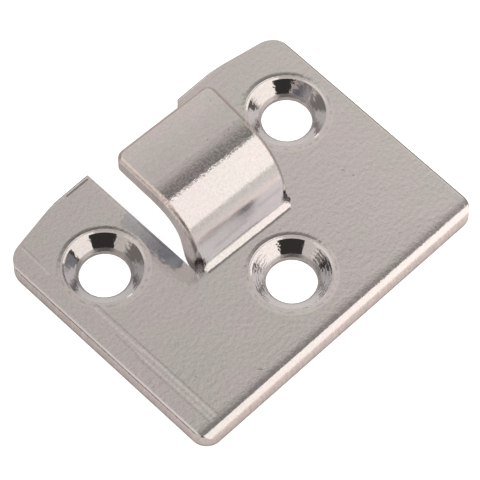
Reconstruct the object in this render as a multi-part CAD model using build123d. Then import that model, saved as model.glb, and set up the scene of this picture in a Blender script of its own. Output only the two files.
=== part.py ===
from build123d import *
from math import cos, radians, sin
import os

# Catch plate for a draw latch: a flat pressed plate with a hook lanced out of its own sheet.
# Millimetres. X runs along the long edge, Y towards the mouth of the notch, Z up from the mounting face.
# The origin is the middle of the mounting face.

# Sheet and outline
sheet = 2.0
plate_width = 37.0
plate_depth = 29.4
side_depth = 27.85
mouth_straight = 20.7
long_edge_corner = 1.75
mouth_corner = 2.4
side_roll = 0.4
mouth_roll = 0.4
bottom_break = 0.15

# The long edge is rolled over much further: an easy lead-in, then a tight round
lead_radius = 6.0
lead_angle = 11.0
long_edge_roll = 1.0

# Screw holes, countersunk at a right angle from the top
hole_dia = 5.1
sink_dia = 8.0
sink_break = 0.1
pair_spacing = 25.0
pair_from_long_edge = 20.65
single_from_long_edge = 7.4
holes_shift = 0.35

# Notch left by the hook
notch_width = 12.4
notch_from_long_edge = 13.85

# Hook, bent up out of the notch; the press left it turned a little in plan
hook_skew = -2.5
root_from_long_edge = 12.72
root_width = 11.8
lip_width = 12.4
root_radius = 1.05
rise_angle = 77.0
lip_top = 9.35
tight_radius = 5.5
easy_radius = 10.0
easy_angle = 12.0
tip_from_root = 12.93
tip_corner = 1.0
hook_roll = 0.55

# Round bite out of each side of the hook, where its root bend ends
relief_dia = 0.8
relief_depth = 0.6
relief_from_root = 1.1

# Cutters run past the sheet by this much, and the hook's foot reaches as far into the plate
spare = 1.0


def from_long_edge(distance):
    return distance - plate_depth / 2


def plate_outline():
    half = plate_width / 2
    low = from_long_edge(0)
    side = from_long_edge(side_depth)
    mouth = from_long_edge(plate_depth)
    straight = mouth_straight / 2
    corners = [(-half, low), (half, low), (half, side), (straight, mouth), (-straight, mouth), (-half, side)]
    face = make_face(Polyline(*corners, close=True))
    face = fillet(face.vertices().group_by(Axis.Y)[0], long_edge_corner)
    shoulders = [v for v in face.vertices() if abs(v.Y - side) < 0.01]
    return fillet(shoulders, mouth_corner)


def rolled_blank():
    # Sheet with its top edge rolled along the sides, longer than the plate at the mouth
    length = plate_depth + 2 * mouth_corner
    face = Pos(0, from_long_edge(length / 2)) * Rectangle(plate_width, length)
    face = fillet(face.vertices().group_by(Axis.Y)[0], long_edge_corner)
    blank = extrude(face, sheet)
    top = blank.faces().sort_by(Axis.Z)[-1]
    sides_and_long_edge = top.edges().sort_by(Axis.Y)[:-1]
    return fillet(sides_and_long_edge, side_roll)


def across_plate(profile):
    # Turns a side view in (y, z) into a bar that runs past both sides of the plate
    return Pos(-plate_width / 2 - spare, 0, 0) * extrude(Plane.YZ * profile, plate_width + 2 * spare)


def long_edge_cutter():
    a = radians(lead_angle)
    wall = from_long_edge(0)
    outside = wall - spare
    above = sheet + spare
    join = (wall + long_edge_roll * (1 - sin(a)), sheet - lead_radius * (1 - cos(a)))
    foot = (wall, join[1] - long_edge_roll * cos(a))
    level = (join[0] + lead_radius * sin(a), sheet)
    roll = TangentArc(foot, join, tangent=(0, 1))
    roll += TangentArc(join, level, tangent=(cos(a), sin(a)))
    rest = Polyline(level, (level[0], above), (outside, above), (outside, foot[1]), foot)
    return across_plate(make_face(Curve() + [roll, rest]))


def mouth_cutter():
    # Quarter-round roll on the straight mouth edge, running out over the tapers
    middle = Pos(from_long_edge(plate_depth) - mouth_roll, sheet - mouth_roll)
    side = mouth_roll + spare
    corner = Rectangle(side, side, align=(Align.MIN, Align.MIN))
    return across_plate(middle * (corner - Circle(mouth_roll)))


def notch():
    length = plate_depth - notch_from_long_edge + spare
    box = Box(notch_width, length, sheet + 2 * spare, align=(Align.CENTER, Align.MIN, Align.MIN))
    return Pos(0, from_long_edge(notch_from_long_edge), -spare) * box


def countersunk_hole(x, y):
    # The sharp rim is broken by a short flatter cone
    half = hole_dia / 2
    rim = sink_dia / 2
    points = [
        (0, -spare),
        (half, -spare),
        (half, sheet - rim + half),
        (rim - sink_break, sheet - sink_break),
        (rim + sink_break, sheet),
        (rim + sink_break, sheet + spare),
        (0, sheet + spare),
    ]
    profile = make_face(Polyline(*points, close=True))
    return Pos(x, y, 0) * revolve(Plane.XZ * profile, Axis.Z)


def plate():
    body = rolled_blank() & extrude(plate_outline(), sheet)
    body -= long_edge_cutter()
    body -= mouth_cutter()
    bottom = body.faces().sort_by(Axis.Z)[0]
    body = chamfer(bottom.edges(), bottom_break)
    body -= notch()
    pair_y = from_long_edge(pair_from_long_edge)
    for x in (-pair_spacing / 2, pair_spacing / 2):
        body -= countersunk_hole(holes_shift + x, pair_y)
    return body - countersunk_hole(holes_shift, from_long_edge(single_from_long_edge))


def hook_side_view():
    # Side view in (distance from root, height): foot in the plate, root bend, riser,
    # tight bend, easy bend, level lip. The lower face runs one sheet thickness inside the upper.
    a = radians(rise_angle)
    e = radians(easy_angle)
    up_riser = (cos(a), sin(a))
    up_easy = (cos(e), sin(e))

    foot = (root_radius * sin(a), sheet + root_radius * (1 - cos(a)))
    join_height = lip_top - easy_radius * (1 - cos(e))
    head_height = join_height - tight_radius * (cos(e) - cos(a))
    head = (foot[0] + (head_height - foot[1]) * cos(a) / sin(a), head_height)
    join = (head[0] + tight_radius * (sin(a) - sin(e)), join_height)
    level = (join[0] + easy_radius * sin(e), lip_top)

    upper = Line((-spare, sheet), (0, sheet))
    upper += TangentArc((0, sheet), foot, tangent=(1, 0))
    upper += Line(foot, head)
    upper += TangentArc(head, join, tangent=up_riser)
    upper += TangentArc(join, level, tangent=up_easy)
    upper += Line(level, (tip_from_root, lip_top))

    under_foot = (foot[0] + sheet * sin(a), foot[1] - sheet * cos(a))
    under_head = (head[0] + sheet * sin(a), head[1] - sheet * cos(a))
    under_join = (join[0] + sheet * sin(e), join[1] - sheet * cos(e))
    under_level = (level[0], lip_top - sheet)

    lower = Line((-spare, 0), (0, 0))
    lower += TangentArc((0, 0), under_foot, tangent=(1, 0))
    lower += Line(under_foot, under_head)
    lower += TangentArc(under_head, under_join, tangent=up_riser)
    lower += TangentArc(under_join, under_level, tangent=up_easy)
    lower += Line(under_level, (tip_from_root, lip_top - sheet))

    ends = Line((-spare, 0), (-spare, sheet))
    ends += Line((tip_from_root, lip_top - sheet), (tip_from_root, lip_top))
    return make_face(Curve() + [upper, lower, ends])


def hook_plan():
    # Seen from above the hook widens slightly from root to tip
    tip = lip_width / 2
    widening = (lip_width - root_width) / 2 / tip_from_root
    back = root_width / 2 - spare * widening
    corners = [(-back, -spare), (back, -spare), (tip, tip_from_root), (-tip, tip_from_root)]
    face = make_face(Polyline(*corners, close=True))
    return fillet(face.vertices().group_by(Axis.Y)[-1], tip_corner)


def on_hook_plan(side_view):
    # Draws the side view out across the hook and trims it to the hook's plan
    bar = Pos(-lip_width, 0, 0) * extrude(Plane.YZ * side_view, 2 * lip_width)
    return bar & Pos(0, 0, -spare) * extrude(hook_plan(), lip_top + 2 * spare)


def at_root(body):
    return Pos(0, from_long_edge(root_from_long_edge), 0) * Rot(0, 0, hook_skew) * body


def hook():
    body = on_hook_plan(hook_side_view())
    lip_face = body.faces().filter_by(GeomType.PLANE).filter_by(Axis.Z).sort_by(Axis.Z)[-1]
    one_side = lip_face.edges().sort_by(Axis.X)[0]
    return at_root(fillet(one_side, hook_roll))


def lifted_underside():
    # The root bend starts short of the notch, so it lifts the sheet there off the mounting face
    reach = notch_from_long_edge - root_from_long_edge + spare / 2
    outer = root_radius + sheet
    slab = Pos(0, -spare) * Rectangle(reach, outer + spare, align=(Align.MIN, Align.MIN))
    return at_root(on_hook_plan(slab - Pos(0, outer) * Circle(outer)))


def bend_reliefs():
    bite = Cylinder(relief_dia / 2, lip_top, align=(Align.CENTER, Align.CENTER, Align.MIN))
    x = root_width / 2 - relief_depth + relief_dia / 2
    return at_root(Pos(-x, relief_from_root, -spare) * bite + Pos(x, relief_from_root, -spare) * bite)


def catch_plate():
    return plate() - lifted_underside() + hook() - bend_reliefs()


if __name__ == "__main__":
    os.makedirs("parts", exist_ok=True)
    part = catch_plate()
    export_step(part, "parts/catch_plate.step")
    box = part.bounding_box()
    print("solids", len(part.solids()), "volume mm3", round(part.volume, 1))
    print("box", [round(v, 2) for v in (*box.min, *box.max)])
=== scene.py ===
# %% [markdown]
# # A catch plate in bright zinc
# The object is one pressed piece of 2 mm sheet steel: a flat plate with three countersunk holes, and a
# hook that was cut free on three sides and bent up out of the plate. After pressing it was zinc plated.
# Its shape is finished already and comes in as a fixed frame, so this lesson is about two things: the
# surface that pressing and plating leave, and the light that lets a bright metal read as metal.

# %% Load the finished shape
import bpy
import bmesh
import math
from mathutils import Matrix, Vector


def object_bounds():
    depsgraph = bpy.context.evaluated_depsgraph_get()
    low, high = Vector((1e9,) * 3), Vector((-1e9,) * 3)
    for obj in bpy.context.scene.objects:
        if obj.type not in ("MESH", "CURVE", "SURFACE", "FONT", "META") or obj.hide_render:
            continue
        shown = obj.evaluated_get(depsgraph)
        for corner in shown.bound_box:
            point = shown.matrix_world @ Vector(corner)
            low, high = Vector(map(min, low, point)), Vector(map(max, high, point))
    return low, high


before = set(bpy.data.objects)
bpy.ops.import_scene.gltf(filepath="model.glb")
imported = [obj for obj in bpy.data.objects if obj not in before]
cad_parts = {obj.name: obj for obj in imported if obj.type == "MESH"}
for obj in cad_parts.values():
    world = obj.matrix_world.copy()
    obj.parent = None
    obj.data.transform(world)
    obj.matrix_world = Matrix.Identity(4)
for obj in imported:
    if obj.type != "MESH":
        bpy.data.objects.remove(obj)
cad_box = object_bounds()
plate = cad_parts["catch_plate"]
print("parts:", sorted(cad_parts))
print("size in mm:", [round(1000 * (hi - lo), 2) for lo, hi in zip(*cad_box)])

# %% [markdown]
# Everything below is thought out in millimetres, the unit of a press shop, and colours are written as the
# hex values that a colour picker shows. Blender wants metres and linear light, so a factor and one short
# function turn one into the other.

# %% Units and colours
mm = 0.001


def linear(hex_colour):
    channels = [int(hex_colour[i:i + 2], 16) / 255 for i in (0, 2, 4)]
    straight = [c / 12.92 if c <= 0.04045 else ((c + 0.055) / 1.055) ** 2.4 for c in channels]
    return (*straight, 1.0)


print("mid grey 808080 is", [round(c, 3) for c in linear("808080")[:3]], "in linear light")

# %% [markdown]
# ## The camera's place
# A long lens from well back keeps the plate's parallel edges nearly parallel. The camera looks down at
# 61 degrees, over the left end of the long edge, at the middle of the plate. Blender's camera looks along
# its own -Z axis, so a quaternion that tracks the view direction turns it.

# %% Camera
view_turn = math.radians(-44.57)
view_height = math.radians(60.887)
view_distance = 0.39151
aim = Vector((0.00011, -0.00036, 0))
lens_mm = 300.0
sensor_mm = 36.0

towards_camera = Vector((
    math.sin(view_turn) * math.cos(view_height),
    -math.cos(view_turn) * math.cos(view_height),
    math.sin(view_height),
))
camera_data = bpy.data.cameras.new("camera")
camera_data.lens = lens_mm
camera_data.sensor_width = sensor_mm
camera = bpy.data.objects.new("camera", camera_data)
camera.location = aim + towards_camera * view_distance
camera.rotation_mode = "QUATERNION"
camera.rotation_quaternion = (-towards_camera).to_track_quat("-Z", "Y")
bpy.context.scene.collection.objects.link(camera)
bpy.context.scene.camera = camera
print("camera at", [round(1000 * c, 1) for c in camera.location], "mm")

# %% [markdown]
# ## The light tent
# Bright metal has hardly any colour of its own: the eye reads it from what it mirrors. Small shiny parts
# are therefore shot in a tent of pale cloth, with softboxes shining through its sides and black flags
# where an edge needs a dark line. A panorama picture of a studio could light the scene too, but it can't be
# moved about cloth by cloth. Every piece of the tent is given here by two angles, as seen from the part by
# someone who looks the camera's way: a turn, where 0 is to the right and 90 straight ahead, and a height.

# %% Directions in the tent
ahead = Vector((-towards_camera.x, -towards_camera.y, 0)).normalized()
right = ahead.cross(Vector((0, 0, 1)))


def direction(turn, height):
    round_about = math.radians(turn)
    upward = math.radians(height)
    level = right * math.cos(round_about) + ahead * math.sin(round_about)
    return level * math.cos(upward) + Vector((0, 0, math.sin(upward)))


print("straight ahead is", [round(c, 2) for c in direction(90, 0)])

# %% [markdown]
# A material and the world are small graphs of nodes. One function is enough to build them: it adds a node,
# sets its options, and fills each input either with a value or with the output of another node. It hands
# back the output that is in use, so that calls can be put one inside the other.

# %% One function for every node


def add(tree, kind, inputs=None, **settings):
    made = tree.nodes.new("ShaderNode" + kind)
    for name, value in settings.items():
        setattr(made, name, value)
    for name, value in (inputs or {}).items():
        if isinstance(value, bpy.types.NodeSocket):
            tree.links.new(value, made.inputs[name])
        else:
            made.inputs[name].default_value = value
    in_use = [output for output in made.outputs if output.enabled]
    return in_use[0] if in_use else None


kinds = [name for name in dir(bpy.types) if name.startswith("ShaderNode")]
print("kinds of shader node that Blender knows:", len(kinds))

# %% [markdown]
# The tent's cloth is lit from outside, so it is the cloth that glows. Its light is a little warm, and the
# bluish zinc turns that back to a nearly neutral grey. A softbox or a flag has no hard rim: over a share
# of its width, given for each of its four sides, it thins out to what hangs behind it.

# %% Cloth that glows
tent_glow = 0.85
warm_white = "FFF0E4"


def glowing_cloth(name, glow, fades):
    material = bpy.data.materials.new(name)
    material.use_nodes = True
    tree = material.node_tree
    tree.nodes.clear()
    across_and_up = add(tree, "TexCoord").node.outputs["UV"]
    split = add(tree, "SeparateXYZ", {0: across_and_up}).node
    density = 1.0
    for side, share in enumerate(fades):
        if share:
            rim = side % 2
            edge = add(tree, "MapRange", {
                "Value": split.outputs[side // 2], "From Min": rim, "From Max": abs(rim - share),
            }, interpolation_type="SMOOTHSTEP")
            density = add(tree, "Math", {0: edge, 1: density}, operation="MULTIPLY")
    glowing = add(tree, "Emission", {"Color": linear(warm_white), "Strength": glow})
    shader = add(tree, "MixShader", {0: density, 1: add(tree, "BsdfTransparent"), 2: glowing})
    add(tree, "OutputMaterial", {"Surface": shader})
    return material


print("the tent glows at", tent_glow, "of white, in", warm_white)

# %% [markdown]
# Area lamps could stand in for the cloth, but they are flat, and their edges are hard in a mirror. So a
# piece of cloth starts as a flat grid with its UV map, and each point of the grid is moved out to its turn
# and height, which curves the cloth like the tent's wall. The camera doesn't see the cloth itself, only the
# metal that mirrors it.

# %% Cloth maker
cloth_steps = 16
tent_away = 2.5


def hang(name, turns, heights, away, glow, fades=(0, 0, 0, 0)):
    shape = bmesh.new()
    shape.loops.layers.uv.new("across_and_up")
    bmesh.ops.create_grid(shape, x_segments=cloth_steps, y_segments=cloth_steps, size=0.5, calc_uvs=True)
    for point in shape.verts:
        turn = turns[0] + (turns[1] - turns[0]) * (point.co.x + 0.5)
        height = heights[0] + (heights[1] - heights[0]) * (point.co.y + 0.5)
        point.co = direction(turn, height) * away
    mesh = bpy.data.meshes.new(name)
    shape.to_mesh(mesh)
    shape.free()
    mesh.materials.append(glowing_cloth(name, glow, fades))
    made = bpy.data.objects.new(name, mesh)
    made.visible_camera = False
    bpy.context.scene.collection.objects.link(made)
    print(name, "hangs from turn", turns[0], "to", turns[1], "and height", heights[0], "to", heights[1])


hang("tent", (-180, 180), (-6, 90), tent_away, tent_glow)

# %% [markdown]
# The large softbox stands to the right, and its sharp upper end gives the bright stripe on the hook's bend.
# The cloth below it catches some of its light. A smaller softbox on the left lights the plate's left edge.
# Two dark cloths overhead start just past the part of the tent that the flat plate mirrors, and draw the
# dark band beside the bright stripe. A narrow bright cloth at the back and three dark ones low down, one of
# them on the camera's side, give the countersinks their light and dark cells. Every sheet hangs a little
# in front of the one named before it.

# %% Softboxes and flags
sheets = [
    # name, turns, heights, glow, share of each side that fades: low turn, high turn, low height, high height
    ("low_right_cloth", (-64, 4), (-2, 14), 1.03, (0.1, 0.2, 0, 0.3)),
    ("right_softbox", (-64, 36), (12, 80), 1.53, (0.06, 0.02, 0.03, 0.05)),
    ("left_softbox", (148, 222), (20, 74), 1.10, (0.2, 0.2, 0.15, 0.2)),
    ("overhead_flag", (28, 112), (54, 90), 0.30, (0, 0.60, 0.45, 0)),
    ("black_ceiling", (20, 160), (68, 90), 0.30, (0.1, 0.2, 0.35, 0)),
    ("back_cloth", (110, 116), (2, 28), 1.50, (0.2, 0.2, 0.1, 0.1)),
    ("camera_side_flag", (-120, -54), (0, 46), 0.05, (0.04, 0.04, 0, 0.1)),
    ("low_left_flag", (140, 216), (0, 24), 0.26, (0.2, 0.1, 0, 0.3)),
    ("low_right_flag", (4, 30), (0, 11), 0.16, (0.3, 0.3, 0, 0.1)),
]
in_front = 0.04
for step, (name, turns, heights, glow, fades) in enumerate(sheets, 1):
    hang(name, turns, heights, tent_away - step * in_front, glow, fades)

# %% [markdown]
# A lamp over the table adds a faint direction to the plate's soft shadow. It is left out of the mirror
# reflections, because the cloth above already is what the metal should show.

# %% Lamp for the table
lamp_size = 0.5
lamp_height = 0.6
lamp_power = 0.4
lamp_data = bpy.data.lights.new("table_lamp", "AREA")
lamp_data.shape = "SQUARE"
lamp_data.size = lamp_size
lamp_data.energy = lamp_power
lamp = bpy.data.objects.new("table_lamp", lamp_data)
lamp.location = (0, 0, lamp_height)
lamp.visible_glossy = False
bpy.context.scene.collection.objects.link(lamp)
print("lamp of", lamp_power, "W,", lamp_height, "m over the table")

# %% [markdown]
# The part lies on white card. In a picture for a catalogue the card is plain white and only the shade right
# under the part is darker. Light Path tells what kind of ray looks at the card, so a steady glow can be
# given to the camera's rays and a smaller one to the rays that the metal mirrors, which keeps the
# countersinks grey. The card's real shading is added on top, and with it the part's shadow.

# %% White card
glow_for_camera = 0.80
glow_in_mirror = 0.20
card_white = "E6E6E6"
card = bpy.data.materials.new("white_card")
card.use_nodes = True
tree = card.node_tree
tree.nodes.clear()
ray = add(tree, "LightPath").node.outputs
mirrored = add(tree, "Math", {0: ray["Is Glossy Ray"], 1: ray["Is Transmission Ray"]}, operation="MAXIMUM")
glow = add(tree, "Math", {0: mirrored, 1: glow_in_mirror}, operation="MULTIPLY")
glow = add(tree, "Math", {0: ray["Is Camera Ray"], 1: glow_for_camera, 2: glow}, operation="MULTIPLY_ADD")
steady = add(tree, "Emission", {"Strength": glow})
shaded = add(tree, "BsdfDiffuse", {"Color": linear(card_white), "Roughness": 1.0})
add(tree, "OutputMaterial", {"Surface": add(tree, "AddShader", {0: steady, 1: shaded})})
print("the card glows at", glow_for_camera, "for the camera and", glow_in_mirror, "in the metal")

# %% [markdown]
# The table is a single face that is wide enough to fill every view. It lies a fiftieth of a millimetre
# under the plate, because two faces in the same place flicker through each other.

# %% Table
table_half = 2.0
below_plate = 0.02
table_mesh = bpy.data.meshes.new("table")
table_corners = [(x * table_half, y * table_half, 0) for x, y in ((-1, -1), (1, -1), (1, 1), (-1, 1))]
table_mesh.from_pydata(table_corners, [], [(0, 1, 2, 3)])
table_mesh.materials.append(card)
table = bpy.data.objects.new("table", table_mesh)
table.location.z = -below_plate * mm
bpy.context.scene.collection.objects.link(table)
print("table", 2 * table_half, "m wide,", below_plate, "mm under the plate")

# %% [markdown]
# Past the table's rim the room is white too. The world shows at a strength of 1 only where it is looked at
# by the camera, in a mirror or through glass. Its strength is 0 for all other rays, so that it adds no
# light to the part and the tent alone shapes it.

# %% White room
world = bpy.data.worlds.new("white_room")
bpy.context.scene.world = world
world.use_nodes = True
tree = world.node_tree
tree.nodes.clear()
ray = add(tree, "LightPath").node.outputs
looked_at = add(tree, "Math", {0: ray["Is Camera Ray"], 1: ray["Is Glossy Ray"]}, operation="MAXIMUM")
looked_at = add(tree, "Math", {0: looked_at, 1: ray["Is Transmission Ray"]}, operation="MAXIMUM")
add(tree, "OutputWorld", {"Surface": add(tree, "Background", {"Strength": looked_at})})
print("the room's white is made of", len(tree.nodes), "nodes")

# %% [markdown]
# ## Bright zinc on pressed steel
# Bright zinc plating is a few thousandths of a millimetre thick and mirrors like poor silver, with a
# bluish tint from its clear passivate. It hides nothing: the rolled sheet's mottle, the marks of the
# press and the sheared edges all show through it. The whole finish is one material, because the plating is
# one skin. It is built up in steps: where on the part each kind of surface lies, then height, tone and
# gloss. From here on, tree is the zinc's own graph.

# %% The part's own places in millimetres
zinc = bpy.data.materials.new("bright_zinc_on_pressed_steel")
zinc.use_nodes = True
tree = zinc.node_tree
tree.nodes.clear()
coordinates = add(tree, "TexCoord").node.outputs
place = add(tree, "VectorMath", {0: coordinates["Object"], 3: 1 / mm}, operation="SCALE")
flat_place = add(tree, "VectorMath", {0: place, 1: (1, 1, 0)}, operation="MULTIPLY")
place_xyz = add(tree, "SeparateXYZ", {0: place}).node.outputs
x, y, z = (place_xyz[axis] for axis in "XYZ")
print("the material measures from the plate's middle, on its mounting face")

# %% [markdown]
# A face's normal is the arrow that stands on it. Its three parts tell how far the face looks to the right,
# to the back and up. Without their signs they tell how far it looks to either side, to front or back, and
# how level it is: 1 for the flat plate, 0 for an upright wall.

# %% Which way a face looks
normal_xyz = add(tree, "SeparateXYZ", {0: coordinates["Normal"]}).node.outputs
to_right, to_back, to_top = (normal_xyz[axis] for axis in "XYZ")
sideways = add(tree, "Math", {0: to_right}, operation="ABSOLUTE")
lengthways = add(tree, "Math", {0: to_back}, operation="ABSOLUTE")
level = add(tree, "Math", {0: to_top}, operation="ABSOLUTE")
print("a lean of 10 degrees is", round(math.sin(math.radians(10)), 2), "of the normal's length")

# %% [markdown]
# Each kind of surface could have a material of its own, but then every border would be a hard line along
# an edge of the mesh. So where a finish begins and ends is said with limits, such as "higher than 2.5 mm
# and looking sideways". A zone is 1 where all its limits are met and 0 where one of them isn't, with a soft
# step between. A limit holds a value, where it starts to count and where it counts in full. A zone that is
# there already can stand in for a limit. The first two zones are the hook, which stands over the plate, and
# the plate's top face.

# %% Zones
sheet_mm = 2.0


def zone(*limits):
    shares = []
    for limit in limits:
        if isinstance(limit, tuple):
            value, start, full = limit
            limit = add(tree, "MapRange", {
                "Value": value, "From Min": start, "From Max": full,
            }, interpolation_type="SMOOTHSTEP")
        shares.append(limit)
    together = shares[0]
    for share in shares[1:]:
        together = add(tree, "Math", {0: together, 1: share}, operation="MULTIPLY")
    return together


above_plate = zone((z, sheet_mm + 0.2, sheet_mm + 0.5))
on_top = zone((level, 0.8, 0.9), (z, sheet_mm - 0.3, sheet_mm - 0.2))
print("the hook counts from", sheet_mm + 0.2, "mm over the mounting face")

# %% [markdown]
# Sheet steel isn't quite flat. Rolling leaves a shallow waviness of a few millimetres and a mottle of half
# a millimetre, and the bright plating levels only what is finer. The zinc's own grain is a few hundredths
# of a millimetre wide, too fine to show here, so it is drawn a seventh of a millimetre wide. Such a skin
# would need millions of faces as a mesh, and noise that drives a bump needs none.
# Heights are collected as layers, which are added up at the end. A layer is a pattern, the zone that it is
# held to, and how high it is in millimetres. The heights are small, because a mirror doubles every tilt.

# %% Sheet grain
everywhere = None
waviness_mm = 3.333
mottle_mm = 0.5
grain_mm = 1 / 7
waviness = add(tree, "TexNoise", {"Vector": place, "Scale": 1 / waviness_mm, "Detail": 1.0})
mottle = add(tree, "TexNoise", {"Vector": place, "Scale": 1 / mottle_mm, "Detail": 1.0, "Roughness": 0.5})
fine_grain = add(tree, "TexNoise", {"Vector": place, "Scale": 1 / grain_mm, "Detail": 1.0})
ragged = add(tree, "Math", {0: fine_grain, 1: 0.5}, operation="SUBTRACT")
heights = [
    # pattern, zone, height in mm
    (waviness, everywhere, 0.018),
    (mottle, everywhere, 0.016),
    (fine_grain, everywhere, 0.002),
]
print("grain of the sheet:", waviness_mm, mottle_mm, "and", round(grain_mm, 2), "mm wide")

# %% [markdown]
# The countersinks were cut with a turning tool. They are told by their distance from a hole's middle and
# by lying below the top face. Their cones look every way, so the normal alone would take them for cut walls.

# %% Where the tool turned
sink_radius = 4.1
bore_radius = 2.55
hole_middles = {"left": (-12.15, 5.95, 0), "right": (12.85, 5.95, 0), "single": (0.35, -7.3, 0)}
far_away = 99.0
from_hole = {}
nearest_hole = far_away
for name, middle in hole_middles.items():
    from_hole[name] = add(tree, "VectorMath", {0: flat_place, 1: middle}, operation="DISTANCE")
    nearest_hole = add(tree, "Math", {0: nearest_hole, 1: from_hole[name]}, operation="MINIMUM")
in_hole = add(tree, "Math", {0: nearest_hole, 1: sink_radius + 0.05}, operation="LESS_THAN")
turned = zone(in_hole, (z, sheet_mm - 0.01, sheet_mm - 0.05), (level, 0.3, 0.5))
# painted shade: a darker, rougher ring where each cone meets its bore
bore_rim_painted_shade = zone((nearest_hole, bore_radius + 0.36, bore_radius + 0.20), turned)
print(len(hole_middles), "countersinks,", 2 * sink_radius, "mm wide at the top")

# %% [markdown]
# The plate's top and the hook's bend only ever lean forward or back. Whatever looks sideways was cut by the
# punch, and so were the plate's ends and every upright wall. Each of these is a zone of its own, and a
# second function joins zones into a larger one.

# %% Where the punch cut
lip_mm = 9.35


def joined(*zones):
    widest = zones[0]
    for other in zones[1:]:
        widest = add(tree, "Math", {0: widest, 1: other}, operation="MAXIMUM")
    return widest


hook_side = zone((sideways, 0.10, 0.28), above_plate)
hook_tip = zone((to_back, 0.15, 0.35), (z, lip_mm - 0.35, lip_mm - 0.15))
plate_side = zone((sideways, 0.75, 0.92))
plate_end = zone((lengthways, 0.60, 0.86), (z, sheet_mm, sheet_mm - 0.1))
upright = zone((level, 0.20, 0.12))
not_turned = add(tree, "Math", {0: 1.0, 1: turned}, operation="SUBTRACT")
sheared = zone(joined(hook_side, plate_side, plate_end, hook_tip, upright), not_turned)
print("the hook's cut walls reach up to", lip_mm, "mm")

# %% [markdown]
# The hook's underside is hidden from the camera, but the plate beside the notch mirrors it. Its pale tint
# is painted light, and nearest the root it gets painted shade: a dark tint and a rougher gloss. The thin
# rolled edge along the hook's right side and tip gets a darker tint, which is painted shade.

# %% Under the hook and along its far edge
painted_shade_from = 10.0
painted_shade_full_at = 4.0
looks_down = zone((to_top, 0.25, 0.05), (to_back, -0.30, -0.05))
# the hook's underside, which gets a pale tint that is painted light
under_hook = zone(looks_down, (sideways, 0.3, 0.1), above_plate)
# painted shade: a darker tint nearest the hook's root, where its underside lies in shade
deep_inside_painted_shade = zone(under_hook, (y, painted_shade_from, painted_shade_full_at))
# painted shade: a darker tint on the thin rolled edge of the hook's right side and tip
far_edge_painted_shade = zone(joined(zone((to_right, 0.08, 0.24)), zone((to_back, 0.12, 0.28))), above_plate)
print("the inside of the hook grows dull from y =", painted_shade_from, "to y =", painted_shade_full_at, "mm")

# %% [markdown]
# Where the punch came down, the top edge of the outline was pulled over into a small roll. On the right
# side and at the mouth a thin dark line is painted on that roll where it leans 20 to 30 degrees, a painted
# reflection.

# %% Painted dark line on the roll of the outline
roll_mm = 0.4
roll_foot = sheet_mm - roll_mm
right_end, mouth_end = (end / mm for end in cad_box[1][:2])
rolled = zone((z, roll_foot - 0.15, roll_foot), (to_top, 0.05, 0.15))
outer_lean = joined(zone((sideways, 0.36, 0.50)), zone((to_back, 0.44, 0.56)))
at_right = zone((x, right_end - 1.3, right_end - 0.9))
at_mouth = zone((y, mouth_end - 2.1, mouth_end - 1.8))
# painted reflection: a thin dark line on the leaning roll at the right side and the mouth
roll_painted_dark_line = zone(rolled, outer_lean, joined(at_right, at_mouth))
print("the outline's roll starts", roll_foot, "mm up")

# %% [markdown]
# Toward the long edge the sheet leans over, at first hardly and then ever more, up to 11 degrees. The frame
# has a plain arc there. A height of a few hundredths, which grows and levels off again, holds the sheet flat
# for longer. Its skin was stretched on the way and is a little coarser.

# %% Lead-in at the long edge
lead_start = -12.75
lead_length = 1.14
leaned = add(tree, "MapRange", {
    "Value": y, "From Min": lead_start, "From Max": lead_start - lead_length,
})
arc = add(tree, "Math", {0: leaned, 1: 2.0}, operation="POWER")
later_arc = add(tree, "Math", {0: leaned, 1: 2.8}, operation="POWER")
not_below = zone((to_top, -0.6, -0.3))
heights += [
    (arc, not_below, 0.108),
    (later_arc, not_below, -0.077),
    (zone(fine_grain, leaned), on_top, 0.010),
]
print("the lead-in is", lead_length, "mm long")

# %% [markdown]
# The punch burnishes a cut wall a little and then tears it, which leaves upright streaks and a duller,
# rougher skin. Anisotropic gloss would smear the light as they do, but it wouldn't show single tears. So the
# streaks come from noise with a grain of a fifth of a millimetre, stretched twelve times along the height.
# They are both a height and, further down, a shade.

# %% Sheared walls
streak_mm = 0.2
streak_stretch = 12
stretched = add(tree, "VectorMath", {0: place, 1: (1, 1, 1 / streak_stretch)}, operation="MULTIPLY")
streaks = add(tree, "TexNoise", {
    "Vector": stretched, "Scale": 1 / streak_mm, "Detail": 3.0, "Roughness": 0.65,
})
heights += [(streaks, sheared, 0.03)]
print("streaks", streak_mm, "mm wide and", streak_mm * streak_stretch, "mm long")

# %% [markdown]
# A turning tool leaves rings of chatter, here 0.26 mm apart. The hole near the long edge has deeper ones
# than the pair. A wave texture could draw such rings, but round one middle only. A sine of the distance
# from each axis makes them for all three, and the mottle keeps them from looking drawn. A ring is left out
# where the mottle is low, as the tool skipped there. Distance and mottle are two layers, and the function
# that lays layers over a base is needed here for the first time.

# %% Rings in the countersinks
chatter_pitch = 0.26
chatter_depth = {"left": 0.0014, "right": 0.0012, "single": 0.0046}
chatter_wobble = 8.0


def laid_over(base, layers):
    for pattern, where, amount in layers:
        if where is not everywhere:
            pattern = add(tree, "Math", {0: pattern, 1: where}, operation="MULTIPLY")
        base = add(tree, "Math", {0: pattern, 1: amount, 2: base}, operation="MULTIPLY_ADD")
    return base


for name, depth in chatter_depth.items():
    turns_out = laid_over(0.0, [
        (from_hole[name], everywhere, 2 * math.pi / chatter_pitch),
        (mottle, everywhere, chatter_wobble),
    ])
    rings = add(tree, "Math", {0: turns_out}, operation="SINE")
    this_hole = add(tree, "Math", {0: from_hole[name], 1: sink_radius}, operation="LESS_THAN")
    heights += [(rings, zone(this_hole, turned, (mottle, 0.25, 0.75)), depth)]
print(len(chatter_depth), "countersinks with rings", chatter_pitch, "mm apart")
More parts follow.
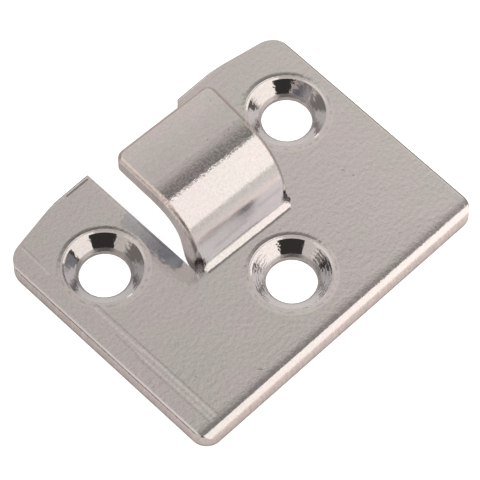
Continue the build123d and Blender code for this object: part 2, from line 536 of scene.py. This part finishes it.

# %% [markdown]
# The tool also pressed the sheet down a little round each rim: first steeply, over two tenths of a
# millimetre, and then in a shallow dish. A faint dark ring a quarter of a millimetre outside the rim,
# which isn't closed, is a painted shade of a narrow groove left by the tool's collar.

# %% Rims of the countersinks
rim = zone((nearest_hole, sink_radius + 0.18, sink_radius - 0.02))
dish = zone((nearest_hole, sink_radius + 0.60, sink_radius))
heights += [
    (rim, on_top, -0.035),
    (dish, on_top, -0.06),
]
collar_radius = sink_radius + 0.25
from_collar = add(tree, "Math", {0: nearest_hole, 1: collar_radius}, operation="SUBTRACT")
from_collar = add(tree, "Math", {0: from_collar}, operation="ABSOLUTE")
from_collar = laid_over(from_collar, [(ragged, everywhere, 0.5)])
# painted shade: a ragged dark ring outside each countersink's rim
collar_ring_painted_shade = zone((from_collar, 0.20, 0.05), on_top, (mottle, 0.45, 0.60))
print("the collar's ring is", 2 * collar_radius, "mm wide")

# %% [markdown]
# The hook's riser was drawn over the punch, which burnished it and left soft streaks along the bend. They
# are noise that hardly changes across the hook. The riser is told by its normal, which looks to the front,
# and by its height over the plate. Its upper part is a little glossier, and its pale warm tint there is a
# painted reflection. All over the hook the bending ironed out some of the mottle and opened the grain.

# %% Drawn riser
drawn_mm = 0.667
drawn_stretch = (0.14, 0.14, 1.0)
riser = zone((to_top, 0.60, 0.36), (to_back, -0.60, -0.80), above_plate)
# painted reflection: a pale warm tint on the upper riser, which is also a little glossier
upper_riser_painted_reflection = zone(riser, (to_top, 0.28, 0.42), (z, 5.0, 5.8))
drawn_place = add(tree, "VectorMath", {0: place, 1: drawn_stretch}, operation="MULTIPLY")
drawn = add(tree, "TexNoise", {
    "Vector": drawn_place, "Scale": 1 / drawn_mm, "Detail": 3.0, "Roughness": 0.6,
})
heights += [
    (drawn, riser, 0.018),
    (mottle, above_plate, -0.007),
    (fine_grain, above_plate, 0.005),
]
print("drawing streaks", drawn_mm, "mm wide and", round(drawn_mm / drawn_stretch[0], 1), "mm long")

# %% [markdown]
# Two deeper streaks lie where the punch let go of the riser. They could be painted on an image, but a stroke
# in the graph stays sharp however near the camera comes. The distance from a stroke is measured as from a
# stick: along it, a point's nearest place is clamped to the two ends. A pattern makes that distance wobble,
# so that the stroke's edge is ragged, and it fades from edge to core. Shades are layers as heights are, and
# their amount says how much lighter they make the tone.

# %% Drag marks on the riser
drag_marks = [
    # start, end, edge, how much darker
    ((-3.4, -0.70, 3.55), (0.4, -0.85, 3.75), 0.75, 0.14),
    ((2.6, -0.70, 4.35), (5.0, -0.80, 4.45), 0.65, 0.12),
]
drag_core = 0.3
drag_wobble = 0.5
shades = []


def stroke(start, end, edge, core, pattern, wobble):
    along = Vector(end) - Vector(start)
    from_start = add(tree, "VectorMath", {0: place, 1: start}, operation="SUBTRACT")
    per_length = along / along.length_squared
    share = add(tree, "VectorMath", {0: from_start, 1: per_length}, operation="DOT_PRODUCT")
    share = add(tree, "Clamp", {"Value": share})
    nearest = add(tree, "VectorMath", {0: tuple(along), 3: share}, operation="SCALE")
    away = add(tree, "VectorMath", {0: from_start, 1: nearest}, operation="DISTANCE")
    return zone((laid_over(away, [(pattern, everywhere, wobble)]), edge, core))


for start, end, edge, dark in drag_marks:
    shades += [(stroke(start, end, edge, drag_core, drawn, drag_wobble), riser, -dark)]
print(len(drag_marks), "drag marks on the riser")

# %% [markdown]
# The other marks are strokes too. Two long lines beside the left edge are where a stop in the press rubbed,
# and the rest are pits in the sheet and nicks from a tumbling drum. The table says where each stroke starts
# and ends, how wide it is, how deep it goes, all in millimetres, and how much it darkens the skin. Less
# than zero makes it lighter.

# %% Marks of press and drum
marks = [
    # press stop, outer line: burnished beside a dark edge
    ((-16.70, -3.3, 2), (-16.60, -13.2, 2), 0.26, 0.002, 0.16),
    ((-16.38, -2.9, 2), (-16.28, -13.3, 2), 0.26, 0.000, -0.16),
    ((-16.45, -0.2, 2), (-16.50, -3.4, 2), 0.24, 0.002, 0.16),
    # press stop, inner line
    ((-15.95, 3.2, 2), (-15.92, -3.2, 2), 0.42, 0.000, -0.14),
    ((-15.78, -3.0, 2), (-15.76, -13.3, 2), 0.34, 0.000, -0.20),
    ((-15.53, 3.4, 2), (-15.42, -13.3, 2), 0.26, 0.003, 0.20),
    # short line beside the left hole
    ((-16.45, 13.0, 2), (-16.50, 9.0, 2), 0.26, 0.000, -0.14),
    ((-16.20, 13.2, 2), (-16.22, 10.8, 2), 0.20, 0.002, 0.16),
    # pits in the sheet
    ((12.00, -2.64, 2), (12.12, -2.78, 2), 0.30, 0.006, 0.30),
    ((12.35, -3.75, 2), (12.36, -3.85, 2), 0.22, 0.006, 0.34),
    ((6.72, -5.80, 2), (6.82, -5.98, 2), 0.20, 0.004, 0.22),
    ((6.10, -9.45, 2), (6.20, -9.57, 2), 0.24, 0.005, 0.26),
    ((11.02, 11.24, 2), (11.16, 11.36, 2), 0.18, 0.004, 0.20),
    ((11.12, 10.33, 2), (11.24, 10.45, 2), 0.22, 0.005, 0.26),
    ((-9.35, -12.45, 2), (-9.12, -12.77, 2), 0.22, 0.006, 0.36),
    ((-14.20, -8.90, 2), (-14.16, -8.96, 2), 0.26, 0.005, 0.28),
    # nicks on the right edge and at the mouth
    ((17.90, 0.10, 1.9), (17.94, 0.24, 1.9), 0.24, 0.008, 0.40),
    ((18.02, -3.25, 1.9), (18.06, -3.09, 1.9), 0.24, 0.008, 0.40),
    ((-9.30, 14.24, 1.98), (-6.60, 14.20, 1.98), 0.30, 0.006, 0.55),
    # painted highlight on the rounded edge of the left side of the notch, and a scrape on it
    ((-6.52, 13.6, 2), (-6.52, 2.4, 2), 0.24, 0.000, -0.09),
    ((-6.42, 7.2, 2), (-6.45, 3.2, 2), 0.26, 0.000, 0.22),
    # nicks on the lip
    ((5.22, 8.92, 9.35), (5.36, 9.06, 9.35), 0.20, 0.004, 0.24),
    ((5.10, 5.60, 9.35), (5.18, 5.70, 9.35), 0.20, 0.000, 0.30),
    ((4.18, 5.38, 9.35), (4.30, 5.48, 9.35), 0.18, 0.000, 0.30),
    ((3.45, 5.17, 9.35), (3.53, 5.27, 9.35), 0.18, 0.000, 0.30),
    ((1.96, 6.00, 9.35), (2.06, 6.10, 9.35), 0.18, 0.000, 0.30),
]
raggedness = 0.8
for start, end, width, depth, dark in marks:
    mark = stroke(start, end, width / 2, width / 8, ragged, width * raggedness)
    shades += [(mark, everywhere, -dark)]
    if depth:
        heights += [(mark, everywhere, -depth)]
print(len(marks), "marks of the press and the drum")

# %% [markdown]
# At both ends of its root bend the hook's metal was torn rather than cut, into a rough pocket that lies in
# shade. Its near black is painted shade, and its skin is rougher. The frame has round reliefs there, and a
# ball of space with a ragged skin at each of them says where the metal is torn.

# %% Torn root corners, with painted shade
torn_spots = [
    # middle, radius that is fully torn, radius where the tear ends
    ((-5.72, -0.72, 2.75), 0.45, 0.95),
    ((5.75, -1.10, 2.80), 0.35, 0.80),
]
tear_wobble = 1.2
tears = []
for middle, full, end in torn_spots:
    away = add(tree, "VectorMath", {0: place, 1: middle}, operation="DISTANCE")
    tears.append(zone((laid_over(away, [(ragged, everywhere, tear_wobble)]), end, full)))
# painted shade: the torn pockets at the root's corners are tinted nearly black
torn_painted_shade = joined(*tears)
heights += [(fine_grain, torn_painted_shade, 0.05)]
print("tears at", len(torn_spots), "corners of the hook's root")

# %% [markdown]
# Zinc is a bluish white metal, and the clear passivate over it drifts between faintly green and faintly
# pink from place to place. The tone starts from two such tints, mixed by slow noise, and each zone then
# gets its own. The walls are duller and greyer, the upper riser gets a painted reflection, the hook's
# underside gets painted light toward the lip and painted shade near its root, and the tears and the far
# rolled edge get painted shade.

# %% Tone
cloud_mm = 4.545
clouds = add(tree, "TexNoise", {"Vector": place, "Scale": 1 / cloud_mm, "Detail": 2.0})
tone = add(tree, "Mix", {
    0: zone((clouds, 0.40, 0.60)), 6: linear("C9CED2"), 7: linear("CCCDD4"),
}, data_type="RGBA")
tints = [
    (riser, "D2D3D8"),
    # painted reflection on the upper riser
    (upper_riser_painted_reflection, "E0DADB"),
    (turned, "C8CACF"),
    (sheared, "CFC8C9"),
    (zone(sheared, above_plate), "D8D4D5"),
    # painted shade on the hook's far rolled edge
    (zone(sheared, far_edge_painted_shade), "A7A3A4"),
    # painted light: pale tint of the hook's underside
    (under_hook, "F8F4F6"),
    # painted shade: dark tint of the hook's underside near its root
    (deep_inside_painted_shade, "AEB2BA"),
    # painted shade of the torn pockets
    (torn_painted_shade, "4C4946"),
]
for where, colour in tints:
    tone = add(tree, "Mix", {0: where, 6: tone, 7: linear(colour)}, data_type="RGBA")
print(len(tints), "tints over drifts", cloud_mm, "mm wide")

# %% [markdown]
# The tone is then made lighter or darker in layers. A fine speckle of a few percent belongs to the sheet.
# The tone also grows lighter toward the right side and the long edge, and at the end of the lip.

# %% Speckle and drift
speckle_mm = 0.25
speckle = add(tree, "TexNoise", {
    "Vector": place, "Scale": 1 / speckle_mm, "Detail": 3.0, "Roughness": 0.7,
})
speckled = add(tree, "MapRange", {
    "Value": speckle, "From Min": 0.3, "From Max": 0.7, "To Min": 0.92, "To Max": 1.08,
})
lip_end = zone((z, lip_mm - 0.35, lip_mm - 0.05), (y, 6.5, 10.5))
drift_to_right = 0.0036
drift_to_mouth = -0.0044
shades += [
    (x, everywhere, drift_to_right),
    (y, everywhere, drift_to_mouth),
    (lip_end, everywhere, 0.13),
]
print("from left to right the zinc grows", round(2 * right_end * drift_to_right * 100), "percent brighter")

# %% [markdown]
# Where the hook starts to bend, its outer skin was stretched until it grew grainy: dark specks among
# brighter ones. The zone is the part of the bend that leans forward by 7 to 15 degrees. Further round,
# where the bend mirrors the softbox, the light hides the specks.

# %% Stretched skin of the bend
bend_starts = (to_back, -0.04, -0.13)
bend_goes_on = (to_back, -0.32, -0.25)
stretched_skin = zone(bend_starts, bend_goes_on, above_plate)
shades += [
    (stretched_skin, everywhere, 0.30),
    (zone((speckle, 0.42, 0.58)), stretched_skin, -0.50),
]
print("the skin's specks are", speckle_mm, "mm wide")

# %% [markdown]
# The rest are shades of the cut faces. The walls carry the streaks, and they are darker toward the
# mounting face, in full below 0.3 mm. The ring where each cone meets its bore gets a painted shade, and so
# do the roll's thin dark line and the collar's ring.

# %% Shades of the cut faces
streak_shade = add(tree, "MapRange", {
    "Value": streaks, "From Min": 0.3, "From Max": 0.7, "To Min": -0.12, "To Max": 0.12,
})
# the cut walls grow darker toward the mounting face
darker_wall_foot = zone((z, 0.80, 0.30), sheared)
shades += [
    (streak_shade, sheared, 1.0),
    (darker_wall_foot, everywhere, -0.25),
    # painted shade at the bottom of each countersink
    (bore_rim_painted_shade, everywhere, -0.22),
    # painted dark reflection on the outline's roll
    (roll_painted_dark_line, everywhere, -0.82),
    # painted shade of the collar's groove
    (collar_ring_painted_shade, everywhere, -0.20),
]
brightness = laid_over(speckled, shades)
tone = add(tree, "VectorMath", {0: tone, 3: brightness}, operation="SCALE")
print(len(shades), "layers of shade")

# %% [markdown]
# Gloss is the last of the three. Bright zinc has a roughness of about 0.1 to 0.2, and 0.12 matches this
# plate. The turned cones are almost mirrors, and the walls and the tears are rougher.

# %% Gloss
roughness = 0.12
gloss_steps = [
    (riser, 0.27),
    (upper_riser_painted_reflection, 0.20),
    (turned, 0.06),
    (bore_rim_painted_shade, 0.35),
    (deep_inside_painted_shade, 0.30),
    (sheared, 0.36),
    (torn_painted_shade, 0.55),
]
for where, value in gloss_steps:
    roughness = add(tree, "Mix", {0: where, 2: roughness, 3: value})
print(len(gloss_steps), "zones have a gloss of their own")

# %% [markdown]
# All layers of height are added up now. Bump turns them into tilted light, and its distance of one
# millimetre says that the heights are in millimetres. A metal needs little else: its colour is what it
# mirrors, so the tone goes in as the base colour, and the shader's IOR stays at its default.

# %% Metal shader
height = laid_over(0.0, heights)
bumped = add(tree, "Bump", {"Height": height, "Distance": mm, "Strength": 1.0})
metal = add(tree, "BsdfPrincipled", {
    "Base Color": tone, "Metallic": 1.0, "Roughness": roughness, "Normal": bumped,
})
add(tree, "OutputMaterial", {"Surface": metal})
plate.data.materials[0] = zinc
print(len(heights), "layers of height, and", len(tree.nodes), "nodes in all")

# %% Finish
bpy.context.scene.view_settings.view_transform = "Standard"
